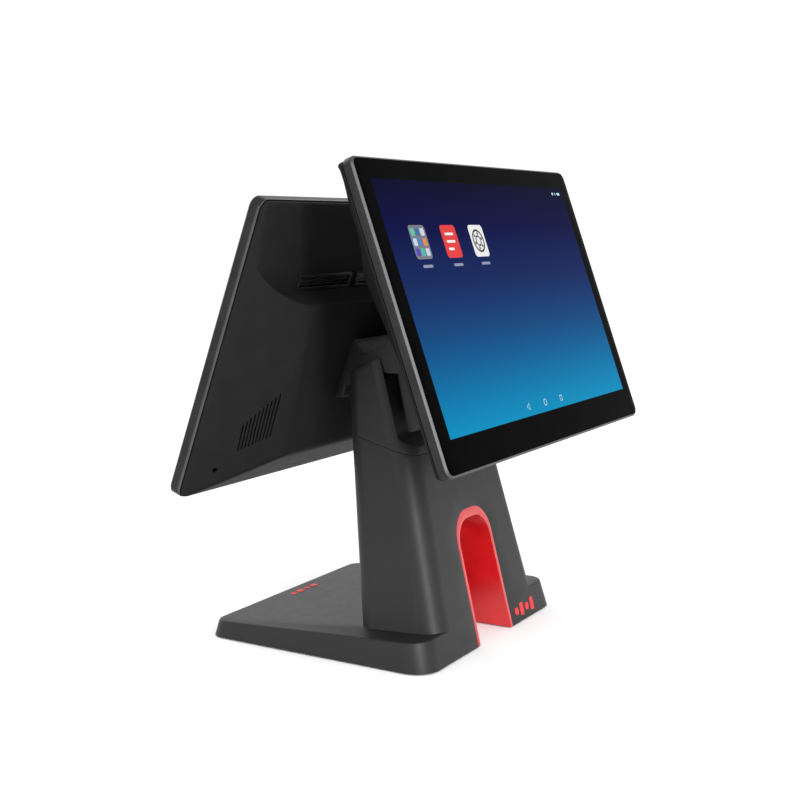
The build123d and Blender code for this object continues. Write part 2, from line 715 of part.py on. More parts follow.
def customer_hinge_leaf(customer_place):
    leaf = hinge_flange(*CUSTOMER_FLANGE_V)
    for v in CUSTOMER_FLANGE_SCREWS:
        for x in FLANGE_SCREWS_X:
            leaf = leaf - flange_hole(x, v)
    middle = (KNUCKLE_X[0] + KNUCKLE_X[1]) / 2
    for side in (-1, 1):
        width = KNUCKLE_X[1] - KNUCKLE_X[0]
        leaf = leaf + block(side * middle, 1.5, width, 9, HUMP_DEPTH + 1, HUMP_DEPTH + 9)
    leaf = customer_place * leaf
    for side in (-1, 1):
        x0, x1 = sorted((side * KNUCKLE_X[0], side * KNUCKLE_X[1]))
        leaf = leaf + rod_x(KNUCKLE_R, x0, x1, *CUSTOMER_AXIS)
    return leaf - rod_x(SHAFT_R + SHAFT_CLEARANCE, -60, 60, *CUSTOMER_AXIS)


ARM_WALL = 2.2
MAIN_ARM_HALF = 66.2
CUSTOMER_ARM_HALF = 63.2
NOTCH = (9.0, 240.2)


def main_hinge_arm():
    """Plastic housing over the main hinge: two cheeks, a sloping top and a back wall."""
    outline = [
        main_point(8.5, HUMP_DEPTH),
        NOTCH,
        (14.0, 240.0),
        (14.0, 227.0),
        (-21.8, 227.0),
        (-31.6, 181.5),
        (-34.5, 180.5),
        (-43.5, 190.5),
        main_point(-53.0, HUMP_DEPTH),
    ]
    inner = MAIN_ARM_HALF - ARM_WALL
    hollow = offset(Polygon(*outline, align=None), -ARM_WALL, kind=Kind.INTERSECTION)
    arm = prism_x(outline, -MAIN_ARM_HALF, MAIN_ARM_HALF)
    arm = arm - Pos(-inner, 0, 0) * extrude(Plane.YZ * hollow, amount=2 * inner, dir=(1, 0, 0))
    mouth = [main_point(6, 40), main_point(6, 54), main_point(-50, 54), main_point(-50, 40)]
    arm = arm - prism_x(mouth, -inner, inner)
    arm = arm - box(-inner, inner, -14, 8.9, 225, 238.0) - box(-inner, inner, -14, 6, 236, 241.7)
    return arm - box(-inner, inner, 8.9, 15, 225, 245)


def customer_hinge_arm():
    """Plastic housing over the customer hinge, narrower, so that it nests in the main one."""
    outline = [
        customer_point(17.1, HUMP_DEPTH),
        (10.4, 241.6),
        (10.4, 234.0),
        (6.0, 231.0),
        (6.0, 222.0),
        (20.0, 215.0),
        (28.8, 214.6),
        (31.8, 204.0),
        customer_point(-34.5, HUMP_DEPTH),
    ]
    inner = CUSTOMER_ARM_HALF - 2.0
    hollow = offset(Polygon(*outline, align=None), -2.0, kind=Kind.INTERSECTION)
    arm = prism_x(outline, -CUSTOMER_ARM_HALF, CUSTOMER_ARM_HALF)
    arm = arm - Pos(-inner, 0, 0) * extrude(Plane.YZ * hollow, amount=2 * inner, dir=(1, 0, 0))
    mouth = [customer_point(v, d) for v, d in ((14.7, 44), (14.7, 52), (-32.5, 52), (-32.5, 44))]
    arm = arm - prism_x(mouth, -inner, inner)
    arm = arm - box(-inner, inner, 4, 13, 213, 239.6)
    return arm - box(-inner, inner, 4, 28.0, 210, 226)


# ---------------------------------------------------------------- parts that only the main display has
BUTTON_V = -78.0
BUTTON_LENGTH = 14.0
BUTTON_WIDTH = 3.2
BUTTON_D = 5.0
BUTTON_PROUD = 0.7


def power_button():
    """Oblong button in the right edge, with a flange that keeps it in."""
    outer = SCREEN_W / 2 + BUTTON_PROUD
    cap = Pos((182.4 + outer) / 2, BUTTON_V, -BUTTON_D) * Box(outer - 182.4, BUTTON_LENGTH, BUTTON_WIDTH)
    cap = fillet(cap.edges().filter_by(Axis.X), 1.5)
    keeper = Pos(181.0, BUTTON_V, -BUTTON_D) * Box(1.4, BUTTON_LENGTH + 4, BUTTON_WIDTH + 1.6)
    neck = Pos(182.0, BUTTON_V, -BUTTON_D) * Box(1.2, BUTTON_LENGTH - 2, BUTTON_WIDTH - 1)
    return cap + keeper + neck


def button_slot():
    slot = Pos(187, BUTTON_V, -BUTTON_D) * Box(12, BUTTON_LENGTH + 0.6, BUTTON_WIDTH + 0.6)
    return fillet(slot.edges().filter_by(Axis.X), 1.7)


def bevel_place(height, edge, x):
    """Location on the bottom bevel of the rear cover, z pointing out of it."""
    v0 = -height / 2 + 0.8
    rise = HUMP_FOOT - 1.8
    drop = HUMP_DEPTH + 1 - edge - RIM_EXTRA
    v = v0 + rise / 2
    d = edge + RIM_EXTRA + drop / 2
    return Plane(origin=(x, v, -d), x_dir=(1, 0, 0), z_dir=(0, -drop, -rise)).location


PORTS = [(-62, 9, 11), (-42, 15, 13), (-20, 14, 7), (0, 14, 7), (20, 14, 7), (42, 15, 6), (62, 12, 12)]


def port_panel(height, edge):
    """Steel face plate behind the port opening, with a cut-out for each socket."""
    plate = Pos(0, 0, -4.4) * Box(150, 24, 1.0)
    for x, w, h in PORTS:
        plate = plate - Pos(x, 0, -4.4) * Box(w + 0.6, h + 0.6, 3)
    return bevel_place(height, edge, 0) * plate


def port_sockets(height, edge):
    """Row of separate socket bodies: power, network, data and display."""
    solids = []
    for x, w, h in PORTS:
        shell = Pos(x, 0, -7.0) * Box(w, h, 7.4)
        shell = shell - Pos(x, 0, -3.3) * Box(w - 1.6, h - 1.6, 6.0)
        tongue = Pos(x, 0, -5.2) * Box(w - 5, 1.6, 2.6)
        solids.append(bevel_place(height, edge, 0) * (shell + tongue))
    return Compound(children=solids)


# ---------------------------------------------------------------- assembly
def place_display(prefix, plane, height, edge, flange_screw_v):
    """Pieces that both displays share."""
    where = plane.location
    nodes[prefix + "_cover_glass"] = where * cover_glass(height)
    nodes[prefix + "_bezel_frame"] = where * bezel_frame(height, edge)
    nodes[prefix + "_lcd_panel"] = where * lcd_panel()
    nodes[prefix + "_chassis_plate"] = where * chassis_plate(height, edge)
    nodes[prefix + "_rear_cover"] = where * rear_cover(height, edge, flange_screw_v)
    nodes[prefix + "_cover_screws"] = where * cover_screws(edge)
    nodes[prefix + "_vent_grilles"] = where * vent_grilles(height)
    nodes[prefix + "_speakers"] = where * speakers()
    nodes[prefix + "_hinge_screws"] = where * flange_screws(flange_screw_v)


def build():
    main_plane = Plane(
        origin=(0, *MAIN_CENTRE),
        x_dir=(1, 0, 0),
        z_dir=(0, -cos(MAIN_TILT), sin(MAIN_TILT)),
    )
    customer_plane = Plane(
        origin=(0, *CUSTOMER_CENTRE),
        x_dir=(-1, 0, 0),
        z_dir=(0, cos(CUSTOMER_TILT), sin(CUSTOMER_TILT)),
    )

    nodes["stand_housing"] = stand_housing()
    nodes["tunnel_liner"] = tunnel_liner()
    nodes["base_plate"] = base_plate()
    nodes["base_plate_screws"] = base_plate_screws()
    nodes["foot_pads"] = foot_pads()
    nodes["upright_frame"] = upright_frame()
    nodes["upright_frame_bolts"] = upright_frame_bolts()
    nodes["hinge_carrier"] = hinge_carrier()
    nodes["hinge_carrier_bolts"] = hinge_carrier_bolts()
    for prefix, axis in (("main", MAIN_AXIS), ("customer", CUSTOMER_AXIS)):
        nodes[prefix + "_hinge_shaft"] = hinge_shaft(axis)
        nodes[prefix + "_hinge_washers"] = hinge_washers(axis)
        nodes[prefix + "_hinge_nuts"] = hinge_nuts(axis)
    neck = neck_shell()
    nodes["neck_cap"] = neck - behind_split(-0.15)
    nodes["neck_rear_cover"] = neck & behind_split(0.15)

    place_display("main", main_plane, MAIN_H, MAIN_EDGE, MAIN_FLANGE_SCREWS)
    place_display("customer", customer_plane, CUSTOMER_H, CUSTOMER_EDGE, CUSTOMER_FLANGE_SCREWS)

    main_place = main_plane.location
    nodes["main_bezel_frame"] = nodes["main_bezel_frame"] - main_place * button_slot()
    opening = bevel_place(MAIN_H, MAIN_EDGE, 0) * Box(146, 20, 30)
    nodes["main_rear_cover"] = nodes["main_rear_cover"] - main_place * opening
    nodes["power_button"] = main_place * power_button()
    nodes["main_port_panel"] = main_place * port_panel(MAIN_H, MAIN_EDGE)
    nodes["main_port_sockets"] = main_place * port_sockets(MAIN_H, MAIN_EDGE)
    nodes["main_logic_board"] = main_place * circuit_board(170, 110, 0, -12, 13)
    nodes["main_heat_spreader"] = main_place * heat_spreader(-40, 10, 21)
    nodes["main_hinge_leaf"] = main_hinge_leaf(main_place)
    nodes["main_hinge_arm"] = main_hinge_arm()

    customer_place = customer_plane.location
    nodes["customer_driver_board"] = customer_place * circuit_board(120, 70, 0, -20, 15)
    nodes["customer_hinge_leaf"] = customer_hinge_leaf(customer_place)
    nodes["customer_hinge_arm"] = customer_hinge_arm()


build()
os.makedirs("parts", exist_ok=True)
for name, shape in nodes.items():
    export_step(shape, "parts/" + name + ".step")
print(len(nodes), "nodes")
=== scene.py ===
import math

import bmesh
import bpy
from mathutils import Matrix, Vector
from mathutils.geometry import delaunay_2d_cdt
from mathutils.kdtree import KDTree


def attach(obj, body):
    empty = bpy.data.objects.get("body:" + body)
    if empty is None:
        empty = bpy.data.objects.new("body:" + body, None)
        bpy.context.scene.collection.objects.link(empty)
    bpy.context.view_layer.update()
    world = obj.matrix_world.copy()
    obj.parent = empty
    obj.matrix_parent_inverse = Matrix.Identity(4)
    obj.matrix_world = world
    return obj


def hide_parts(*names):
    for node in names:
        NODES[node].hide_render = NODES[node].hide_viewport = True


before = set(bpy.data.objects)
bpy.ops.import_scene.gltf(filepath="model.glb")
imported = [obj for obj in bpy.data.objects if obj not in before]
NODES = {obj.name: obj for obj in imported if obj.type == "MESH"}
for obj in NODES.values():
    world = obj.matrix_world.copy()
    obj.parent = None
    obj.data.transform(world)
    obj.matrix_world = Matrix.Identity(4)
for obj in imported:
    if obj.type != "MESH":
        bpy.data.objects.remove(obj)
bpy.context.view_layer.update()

MM = 0.001


# ---------------------------------------------------------------- displays' own coordinates
class Display:
    """Turns (x, height, depth behind the glass) of one display into the frame's metres."""

    def __init__(self, prefix, body, facing, height, edge, tilt, centre):
        angle = math.radians(tilt)
        self.prefix = prefix
        self.body = body
        self.height = height
        self.edge = edge
        self.right = Vector((-facing, 0, 0))
        self.up = Vector((0, -facing * math.sin(angle), math.cos(angle)))
        self.behind = Vector((0, -facing * math.cos(angle), -math.sin(angle)))
        self.centre = Vector((0, centre[0], centre[1]))

    def point(self, x, v, d):
        return (self.centre + x * self.right + v * self.up + d * self.behind) * MM


MAIN = Display("main", "main_display", -1, 237.0, 8.2, 19.62, (-93.63, 282.48))
CUSTOMER = Display("customer", "customer_display", 1, 244.0, 10.2, 20.06, (72.97, 252.76))
SCREEN_W = 380.0
ACTIVE_W = 344.2
ACTIVE_H = 193.6
ACTIVE_RISE = 4.85


# ---------------------------------------------------------------- materials
def srgb(r, g, b):
    """Linear colour from 0-255 screen values."""
    return tuple(((c / 255 + 0.055) / 1.055) ** 2.4 if c > 10 else c / 255 / 12.92 for c in (r, g, b))


class Shader:
    """A Principled material with the few nodes that the finishes share."""

    def __init__(self, name, roughness, metallic=0.0, specular=0.5):
        self.material = bpy.data.materials.new(name)
        self.material.use_nodes = True
        self.tree = self.material.node_tree
        self.bsdf = self.tree.nodes["Principled BSDF"]
        self.bsdf.inputs["Roughness"].default_value = roughness
        self.bsdf.inputs["Metallic"].default_value = metallic
        self.bsdf.inputs["Specular IOR Level"].default_value = specular
        self.coordinates = self.node("ShaderNodeTexCoord").outputs["Object"]

    def node(self, kind, **values):
        made = self.tree.nodes.new(kind)
        for key, value in values.items():
            if hasattr(made, key):
                setattr(made, key, value)
            else:
                made.inputs[key.replace("_", " ").title()].default_value = value
        return made

    def link(self, source, target):
        self.tree.links.new(source, target)

    def stretched(self, scale):
        mapping = self.node("ShaderNodeMapping")
        mapping.inputs["Scale"].default_value = scale
        self.link(self.coordinates, mapping.inputs["Vector"])
        return mapping.outputs["Vector"]

    def noise(self, scale, detail=3.0, vector=None):
        texture = self.node("ShaderNodeTexNoise", scale=scale, detail=detail)
        self.link(vector or self.coordinates, texture.inputs["Vector"])
        return texture.outputs["Fac"]

    def spread(self, value, low, high):
        """Maps a noise's middle range to low..high."""
        ranged = self.node("ShaderNodeMapRange")
        ranged.inputs["From Min"].default_value = 0.3
        ranged.inputs["From Max"].default_value = 0.7
        ranged.inputs["To Min"].default_value = low
        ranged.inputs["To Max"].default_value = high
        self.link(value, ranged.inputs["Value"])
        return ranged.outputs["Result"]

    def blend(self, factor, first, second):
        mix = self.node("ShaderNodeMix", data_type="RGBA")
        for socket, value in ((6, first), (7, second)):
            if hasattr(value, "is_output"):
                self.link(value, mix.inputs[socket])
            else:
                mix.inputs[socket].default_value = (*value, 1)
        self.link(factor, mix.inputs[0])
        return mix.outputs[2]

    def bump(self, height, distance, strength=1.0):
        bump = self.node("ShaderNodeBump")
        bump.inputs["Strength"].default_value = strength
        bump.inputs["Distance"].default_value = distance
        self.link(height, bump.inputs["Height"])
        self.link(bump.outputs["Normal"], self.bsdf.inputs["Normal"])


def moulded(name, colour, roughness, grain, depth, specular=0.25, spread=0.05):
    """Moulded plastic: a fine spark-eroded grain, slight mottling and uneven sheen."""
    shader = Shader(name, roughness, specular=specular)
    lighter = tuple(min(1, c * 1.06) for c in colour)
    darker = tuple(c * 0.94 for c in colour)
    mottled = shader.blend(shader.spread(shader.noise(55), 0, 1), darker, lighter)
    sheen = shader.spread(shader.noise(140), roughness - spread, roughness + spread)
    shader.link(mottled, shader.bsdf.inputs["Base Color"])
    shader.link(sheen, shader.bsdf.inputs["Roughness"])
    shader.bump(shader.noise(grain, detail=2), depth)
    return shader.material


def metal(name, colour, roughness, stretch, depth=0.00002):
    """Brushed or zinc-plated metal, with streaks along one direction."""
    shader = Shader(name, roughness, metallic=1.0)
    streaks = shader.noise(1, detail=4, vector=shader.stretched(stretch))
    darker = tuple(c * 0.8 for c in colour)
    shader.link(shader.blend(shader.spread(streaks, 0, 1), darker, colour), shader.bsdf.inputs["Base Color"])
    shader.link(shader.spread(streaks, roughness - 0.08, roughness + 0.1), shader.bsdf.inputs["Roughness"])
    shader.bump(streaks, depth)
    return shader.material


def glass_black(name):
    """Cover glass with a black print behind it: near black, polished, a trace of smudging."""
    shader = Shader(name, 0.05, specular=0.004)
    shader.bsdf.inputs["IOR"].default_value = 1.52
    shader.link(
        shader.blend(shader.spread(shader.noise(30), 0, 1), srgb(2, 2, 2), srgb(4, 4, 4)),
        shader.bsdf.inputs["Base Color"],
    )
    shader.link(shader.spread(shader.noise(70), 0.035, 0.075), shader.bsdf.inputs["Roughness"])
    return shader.material


SCREEN_STOPS = [
    (0.00, (0, 0, 37)),
    (0.10, (0, 4, 56)),
    (0.20, (2, 8, 68)),
    (0.33, (10, 32, 88)),
    (0.42, (16, 40, 95)),
    (0.52, (16, 56, 113)),
    (0.62, (14, 73, 129)),
    (0.74, (8, 96, 151)),
    (0.86, (5, 121, 174)),
    (1.00, (2, 146, 194)),
]


def screen_glow(name, strength):
    """Lit panel: a night-to-daylight gradient with a faint pixel grid."""
    shader = Shader(name, 0.06, specular=0.004)
    generated = shader.node("ShaderNodeTexCoord").outputs["Generated"]
    parts = shader.node("ShaderNodeSeparateXYZ")
    shader.link(generated, parts.inputs["Vector"])
    flip = shader.node("ShaderNodeMath", operation="SUBTRACT")
    flip.inputs[0].default_value = 1.0
    shader.link(parts.outputs["Z"], flip.inputs[1])
    ramp = shader.node("ShaderNodeValToRGB")
    elements = ramp.color_ramp.elements
    for index, (place, colour) in enumerate(SCREEN_STOPS):
        element = elements[index] if index < 2 else elements.new(place)
        element.position = place
        element.color = (*srgb(*colour), 1)
    shader.link(flip.outputs[0], ramp.inputs["Fac"])
    grid = shader.noise(1500, detail=1)
    lit = shader.blend(shader.spread(grid, 0.0, 0.06), ramp.outputs["Color"], (0.0, 0.0, 0.0))
    shader.link(lit, shader.bsdf.inputs["Emission Color"])
    shader.bsdf.inputs["Emission Strength"].default_value = strength
    shader.bsdf.inputs["Base Color"].default_value = (0.002, 0.002, 0.003, 1)
    return shader.material


def lit_ink(name, colour, strength=1.0):
    """A symbol on the lit panel."""
    shader = Shader(name, 0.1, specular=0.004)
    tone = srgb(*colour)
    darker = tuple(c * 0.9 for c in tone)
    lit = shader.blend(shader.spread(shader.noise(400), 0, 1), darker, tone)
    shader.link(lit, shader.bsdf.inputs["Emission Color"])
    shader.bsdf.inputs["Emission Strength"].default_value = strength
    shader.bsdf.inputs["Base Color"].default_value = (0.01, 0.01, 0.01, 1)
    return shader.material


BAND_DEPTH = 1.85                 # the front bevel ends and the side band begins this far behind the glass
BAND_STEP = 8000.0                # sharpness of the change, per metre of depth


def bezel_metal(name, display):
    """Satin dark side band whose front bevel carries a painted highlight as a lighter grey, told apart by
    depth.
    """
    shader = Shader(name, 0.34, metallic=0.9)
    depth = shader.node("ShaderNodeVectorMath", operation="DOT_PRODUCT")
    shader.link(shader.coordinates, depth.inputs[0])
    depth.inputs[1].default_value = display.behind
    behind = shader.node("ShaderNodeMath", operation="SUBTRACT")
    shader.link(depth.outputs["Value"], behind.inputs[0])
    behind.inputs[1].default_value = display.centre.dot(display.behind) * MM + BAND_DEPTH * MM
    step = shader.node("ShaderNodeMath", operation="MULTIPLY", use_clamp=True)
    shader.link(behind.outputs[0], step.inputs[0])
    step.inputs[1].default_value = BAND_STEP
    mottled = shader.blend(shader.spread(shader.noise(60), 0, 1), srgb(42, 42, 43), srgb(50, 50, 51))
    # painted highlight: the front bevel's lighter grey srgb(76, 76, 78) stands for light glancing off it;
    # the band's own colour is the mottled dark grey
    colour = shader.blend(step.outputs[0], srgb(76, 76, 78), mottled)
    shader.link(colour, shader.bsdf.inputs["Base Color"])
    rough = shader.node("ShaderNodeMapRange")
    rough.inputs["To Min"].default_value = 0.5
    rough.inputs["To Max"].default_value = 0.42
    shader.link(step.outputs[0], rough.inputs["Value"])
    shader.link(rough.outputs["Result"], shader.bsdf.inputs["Roughness"])
    shader.bump(shader.noise(2600, detail=2), 0.00001)
    return shader.material


def board_green(name):
    """Solder-masked board with a pattern of fine tracks."""
    shader = Shader(name, 0.35)
    tracks = shader.node("ShaderNodeTexBrick", scale=160.0)
    shader.link(shader.coordinates, tracks.inputs["Vector"])
    tracks.inputs["Color1"].default_value = (*srgb(16, 82, 48), 1)
    tracks.inputs["Color2"].default_value = (*srgb(12, 70, 42), 1)
    tracks.inputs["Mortar"].default_value = (*srgb(70, 140, 90), 1)
    shader.link(tracks.outputs["Color"], shader.bsdf.inputs["Base Color"])
    shader.bump(tracks.outputs["Fac"], 0.00005)
    return shader.material


def liner_red(name):
    """Satin red moulding with a soft coat."""
    shader = Shader(name, 0.33)
    shader.bsdf.inputs["Coat Weight"].default_value = 0.5
    shader.bsdf.inputs["Coat Roughness"].default_value = 0.2
    shader.link(
        shader.blend(shader.spread(shader.noise(40), 0, 1), srgb(170, 9, 16), srgb(190, 16, 22)),
        shader.bsdf.inputs["Base Color"],
    )
    shader.link(shader.spread(shader.noise(160), 0.28, 0.38), shader.bsdf.inputs["Roughness"])
    shader.bump(shader.noise(1300, detail=2), 0.00002)
    return shader.material


STAND_BLACK = moulded("stand_black", srgb(27, 27, 28), 0.47, 1500, 0.00003, specular=0.3, spread=0.02)
SHELL_BLACK = moulded("shell_black", srgb(30, 30, 31), 0.38, 700, 0.000006, specular=0.008, spread=0.03)
ARM_BLACK = moulded("arm_black", srgb(28, 28, 29), 0.42, 1500, 0.00003)
GRILLE_BLACK = moulded("grille_black", srgb(24, 24, 26), 0.45, 1700, 0.00003)
BUTTON_GREY = moulded("button_grey", srgb(70, 70, 73), 0.35, 1800, 0.00003)
SOCKET_BLACK = moulded("socket_black", srgb(22, 22, 24), 0.4, 1500, 0.00004)
RUBBER = moulded("rubber", srgb(30, 30, 30), 0.8, 900, 0.00012, spread=0.06)
LINER_RED = liner_red("liner_red")
ZINC = metal("zinc_sheet", srgb(186, 190, 196), 0.34, (40, 40, 900))
STEEL = metal("bright_steel", srgb(200, 202, 205), 0.26, (1200, 60, 60))
HEAT_SINK = metal("heat_sink", srgb(205, 207, 212), 0.38, (60, 800, 60))
BOARD = board_green("board_green")
GLASS = glass_black("cover_glass")
BEZELS = {d.prefix: bezel_metal(d.prefix + "_bezel", d) for d in (MAIN, CUSTOMER)}
SCREEN = screen_glow("screen_glow", 1.0)
IDLE_SCREEN = screen_glow("idle_screen_glow", 0.85)
MARK_RED = moulded("mark_red", srgb(226, 40, 44), 0.45, 1200, 0.00002)


# ---------------------------------------------------------------- mesh tools
def piece(name, vertices, faces, material, body, sharp=30.0):
    """A mesh piece that rides on a body, smooth except across sharp edges."""
    mesh = bpy.data.meshes.new(name)
    mesh.from_pydata(vertices, [], faces)
    mesh.validate()
    mesh.shade_smooth()
    mesh.set_sharp_from_angle(angle=math.radians(sharp))
    mesh.materials.append(material)
    made = bpy.data.objects.new(name, mesh)
    bpy.context.scene.collection.objects.link(made)
    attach(made, body)
    return made


def smoothing_group():
    """Geometry nodes that smooth a mesh except across edges sharper than 32 degrees."""
    group = bpy.data.node_groups.new("smooth_by_angle", "GeometryNodeTree")
    group.interface.new_socket("Geometry", in_out="INPUT", socket_type="NodeSocketGeometry")
    group.interface.new_socket("Geometry", in_out="OUTPUT", socket_type="NodeSocketGeometry")
    start = group.nodes.new("NodeGroupInput")
    end = group.nodes.new("NodeGroupOutput")
    drop = group.nodes.new("GeometryNodeRemoveAttribute")
    drop.inputs["Name"].default_value = "custom_normal"
    angle = group.nodes.new("GeometryNodeInputMeshEdgeAngle")
    below = group.nodes.new("FunctionNodeCompare")
    below.data_type = "FLOAT"
    below.operation = "LESS_THAN"
    below.inputs[1].default_value = math.radians(32)
    faces = group.nodes.new("GeometryNodeSetShadeSmooth")
    edges = group.nodes.new("GeometryNodeSetShadeSmooth")
    edges.domain = "EDGE"
    group.links.new(start.outputs[0], drop.inputs["Geometry"])
    group.links.new(drop.outputs["Geometry"], faces.inputs["Geometry"])
    group.links.new(faces.outputs["Geometry"], edges.inputs["Geometry"])
    group.links.new(angle.outputs["Unsigned Angle"], below.inputs[0])
    group.links.new(below.outputs["Result"], edges.inputs["Shade Smooth"])
    group.links.new(edges.outputs["Geometry"], end.inputs[0])
    return group


SMOOTHING = smoothing_group()


def dress(node, material, edge=0.0):
    """Gives a CAD node its material and, where an edge radius in millimetres is given, soft edges."""
    owner = NODES[node]
    owner.data.materials.clear()
    owner.data.materials.append(material)
    weld = owner.modifiers.new("weld", "WELD")
    weld.merge_threshold = 0.000002
    if edge:
        bevel = owner.modifiers.new("bevel", "BEVEL")
        bevel.width = edge * MM
        bevel.segments = 3
        bevel.limit_method = "ANGLE"
        bevel.angle_limit = math.radians(32)
        bevel.use_clamp_overlap = True
        bevel.miter_outer = "MITER_ARC"
    smooth = owner.modifiers.new("smooth", "NODES")
    smooth.node_group = SMOOTHING


def rounded_rect(width, height, radius, step=3.0, corner_steps=12, centre=(0.0, 0.0)):
    """Anticlockwise (x, v) outline; the counts depend on step and corner_steps alone."""
    half_w, half_h = width / 2, height / 2
    corners = [
        (half_w - radius, -half_h + radius, -90),
        (half_w - radius, half_h - radius, 0),
        (-half_w + radius, half_h - radius, 90),
        (-half_w + radius, -half_h + radius, 180),
    ]
    counts = [max(1, round(SCREEN_W / step)), max(1, round(240.0 / step))] if step else [1, 1]
    points = []
    for index, (cx, cv, start) in enumerate(corners):
        arc = []
        for k in range(corner_steps + 1):
            a = math.radians(start + 90 * k / corner_steps)
            arc.append((cx + radius * math.cos(a), cv + radius * math.sin(a)))
        points += arc
        nx, nv, following = corners[(index + 1) % 4]
        end_angle = math.radians(following)
        end = (nx + radius * math.cos(end_angle), nv + radius * math.sin(end_angle))
        count = counts[(index + 1) % 2]
        for k in range(1, count):
            t = k / count
            points.append((arc[-1][0] * (1 - t) + end[0] * t, arc[-1][1] * (1 - t) + end[1] * t))
    return [(x + centre[0], v + centre[1]) for x, v in points]


def box_distance(x, v, half_w, half_h, radius):
    """Signed distance to a rounded rectangle, negative inside."""
    qx, qv = abs(x) - half_w + radius, abs(v) - half_h + radius
    return math.hypot(max(qx, 0), max(qv, 0)) + min(max(qx, qv), 0) - radius


def inside(point, polygon):
    hit = False
    x, v = point
    for (x0, v0), (x1, v1) in zip(polygon, polygon[1:] + polygon[:1]):
        if (v0 > v) != (v1 > v) and x < (x1 - x0) * (v - v0) / (v1 - v0) + x0:
            hit = not hit
    return hit


def soft_min(a, b, k):
    h = max(k - abs(a - b), 0) / k
    return min(a, b) - h * h * k / 4


# ---------------------------------------------------------------- rear covers
# These repeat the CAD covers' dimensions, except the vents, which lean and are closer together here,
# and the upper screw holes, which are left out.
INSET = 0.8
CORNER_R = 8.0
HUMP_DEPTH, HUMP_FOOT = 48.0, 44.0
BEVEL_START = 1.8                     # what the bottom bevel's height leaves out at its lower and upper ends
CREST_HALF, CREST_SPREAD = 130.5, 0.2   # half width of the raised middle, and its gain per mm up
RIM_EXTRA = 3.0
RECESS_DROP, RECESS_R = 71.5, 54.0
RECESS_HALF = 193.5
GRILLE_DROP = 64.0
FLOOR_DEEP, FLOOR_SHALLOW = 20.0, 14.5
SHOULDER = 1.6                    # rounding at the top of the recess wall
WALL_RUN = 0.9                    # how far the recess wall slopes outward in plan
RIM_ROUND = 1.5
CREASE = 3.2                      # softness of the creases between facets
COVER_WALL = 2.0
GRILLES = (-86.0, 0.0, 86.0)
GRILLE_HALF, GRILLE_RISE = 37, 5      # the openings behind the grilles, as half width and half height
PORT_HALF, PORT_REACH = 73, 10.0      # the port panel's opening, likewise, measured along the bevel
SCREW_X, SCREW_V, SCREW_HOLE_R = 168.0, -96.0, 2.2
SLOT_R = 0.6
RECESS_TALL = 100                     # half height of the recess outline, which runs out past the top
FINE = 1.5                            # spacing of the loose points where the surface bends
VENTS = [(135.0 + 2.32 * i, -25.5 - 3.3 * i, -64.5 - 1.6 * i) for i in range(10)]
VENT_LEAN = 0.11                  # the slots lean outwards at their tops


